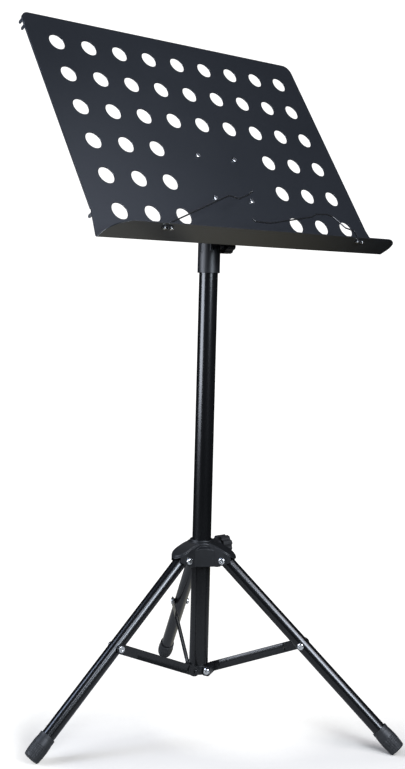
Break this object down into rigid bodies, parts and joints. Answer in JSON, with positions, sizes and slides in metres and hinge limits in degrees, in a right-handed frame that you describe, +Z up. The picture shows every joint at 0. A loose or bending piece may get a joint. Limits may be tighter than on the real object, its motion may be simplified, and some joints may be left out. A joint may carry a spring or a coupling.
{
  "type": "music stand",
  "caption": "Folding music stand: perforated steel desk with a page lip and swing wires, on a tilting head, a sliding mast and a strutted folding tripod.",
  "frame": {"origin": "on the floor, on the post's axis", "axes": "+Z up along the post, -Y towards the reader, +X to the reader's right"},
  "size_m": [0.5246, 0.4687, 0.9156],
  "materials": {
    "tube_gloss_black": "gloss black powder coat",
    "mast_satin_black": "satin black",
    "desk_satin_black": "satin black powder coat",
    "strut_black": "gloss black",
    "wire_black": "gloss black",
    "moulded_black": "satin moulded nylon",
    "knob_black": "matte moulded",
    "foot_rubber": "matte",
    "zinc": "zinc plated",
    "brass": "turned",
    "nylon": "natural moulded"
  },
  "bodies": {
    "post": {"outer_tube": "tube_gloss_black", "height_clamp": "moulded_black", "clamp_insert": "brass", "spreader_collar": "moulded_black", "spreader_screws": "zinc", "spreader_nuts": "strut_black"},
    "clamp_knob": {"clamp_knob": "knob_black", "clamp_stud": "zinc"},
    "hub": {"tripod_hub": "moulded_black", "hub_insert": "brass", "leg_pivot_screws": "zinc", "leg_pivot_nuts": "zinc"},
    "hub_knob": {"hub_knob": "knob_black", "hub_stud": "zinc"},
    "leg_1": {"leg_tube_1": "tube_gloss_black", "foot_1": "foot_rubber", "strut_screw_1": "zinc", "strut_spacer_1": "nylon"},
    "leg_2": {"leg_tube_2": "tube_gloss_black", "foot_2": "foot_rubber", "strut_screw_2": "zinc", "strut_spacer_2": "nylon"},
    "leg_3": {"leg_tube_3": "tube_gloss_black", "foot_3": "foot_rubber", "strut_screw_3": "zinc", "strut_spacer_3": "nylon"},
    "strut_1": {"strut_1": "strut_black", "strut_rivet_1": "zinc"},
    "strut_2": {"strut_2": "strut_black", "strut_rivet_2": "zinc"},
    "strut_3": {"strut_3": "strut_black", "strut_rivet_3": "zinc"},
    "glide": {"mast_glide": "nylon"},
    "mast": {"inner_tube": "mast_satin_black", "tilt_head": "moulded_black", "head_pin": "zinc"},
    "desk": {"desk_panel": "desk_satin_black", "desk_bracket": "desk_satin_black", "bracket_rivets": "zinc", "tilt_bolt": "zinc", "tilt_washers": "nylon", "wire_plate_left": "wire_black", "wire_plate_right": "wire_black", "wire_rivets_left": "zinc", "wire_rivets_right": "zinc"},
    "tilt_knob": {"tilt_knob": "knob_black"},
    "page_wire_left": {"page_wire_left": "wire_black", "wire_washer_left": "nylon"},
    "page_wire_right": {"page_wire_right": "wire_black", "wire_washer_right": "nylon"}
  },
  "joints": [
    {"name": "hub_slide", "type": "slide", "parent": "post", "child": "hub", "axis": [0, 0, 1], "range_m": [0, 0.1296]},
    {"name": "hub_knob_turn", "type": "hinge", "parent": "hub", "child": "hub_knob", "pos_m": [0.02928, -0.00112, 0.2275], "axis": [0.9993, -0.0384, 0], "range_deg": [0, 360]},
    {"name": "leg_1_fold", "type": "hinge", "parent": "hub", "child": "leg_1", "pos_m": [-0.03298, 0.00127, 0.2162], "axis": [-0.0384, -0.9993, 0], "range_deg": [0, 47.6]},
    {"name": "leg_2_fold", "type": "hinge", "parent": "hub", "child": "leg_2", "pos_m": [0.01539, -0.02919, 0.2162], "axis": [0.8846, 0.4664, 0], "range_deg": [0, 47.6]},
    {"name": "leg_3_fold", "type": "hinge", "parent": "hub", "child": "leg_3", "pos_m": [0.01758, 0.02792, 0.2162], "axis": [-0.8462, 0.5329, 0], "range_deg": [0, 47.6]},
    {"name": "strut_1_fold", "type": "hinge", "parent": "post", "child": "strut_1", "pos_m": [-0.01499, 0.00058, 0.0687], "axis": [0.0384, 0.9993, 0], "range_deg": [0, 60.4]},
    {"name": "strut_2_fold", "type": "hinge", "parent": "post", "child": "strut_2", "pos_m": [0.007, -0.01327, 0.0687], "axis": [-0.8846, -0.4664, 0], "range_deg": [0, 60.4]},
    {"name": "strut_3_fold", "type": "hinge", "parent": "post", "child": "strut_3", "pos_m": [0.00799, 0.01269, 0.0687], "axis": [0.8462, -0.5329, 0], "range_deg": [0, 60.4]},
    {"name": "clamp_knob_turn", "type": "hinge", "parent": "post", "child": "clamp_knob", "pos_m": [0.0223, 0, 0.6325], "axis": [1, 0, 0], "range_deg": [0, 360]},
    {"name": "mast_slide", "type": "slide", "parent": "post", "child": "glide", "axis": [0, 0, 1], "range_m": [0, 0.4]},
    {"name": "mast_swivel", "type": "hinge", "parent": "glide", "child": "mast", "pos_m": [0, 0, 0.112], "axis": [0, 0, 1], "continuous": true},
    {"name": "desk_tilt", "type": "hinge", "parent": "mast", "child": "desk", "pos_m": [0, 0, 0.701], "axis": [-1, 0, 0], "range_deg": [-22, 56]},
    {"name": "tilt_knob_turn", "type": "hinge", "parent": "desk", "child": "tilt_knob", "pos_m": [0.0139, 0, 0.701], "axis": [1, 0, 0], "range_deg": [0, 360]},
    {"name": "page_wire_left_swing", "type": "hinge", "parent": "desk", "child": "page_wire_left", "pos_m": [-0.174, -0.10995, 0.64274], "axis": [0, 0.4648, 0.8854], "range_deg": [-100, 7]},
    {"name": "page_wire_right_swing", "type": "hinge", "parent": "desk", "child": "page_wire_right", "pos_m": [0.174, -0.10995, 0.64274], "axis": [0, 0.4648, 0.8854], "range_deg": [-7, 100]}
  ],
  "couplings": [
    {"joint": "leg_1_fold", "follows": "hub_slide", "rad_per_m": 6.3982},
    {"joint": "leg_2_fold", "follows": "hub_slide", "rad_per_m": 6.3982},
    {"joint": "leg_3_fold", "follows": "hub_slide", "rad_per_m": 6.3982},
    {"joint": "strut_1_fold", "follows": "hub_slide", "rad_per_m": 8.1262},
    {"joint": "strut_2_fold", "follows": "hub_slide", "rad_per_m": 8.1262},
    {"joint": "strut_3_fold", "follows": "hub_slide", "rad_per_m": 8.1262}
  ]
}
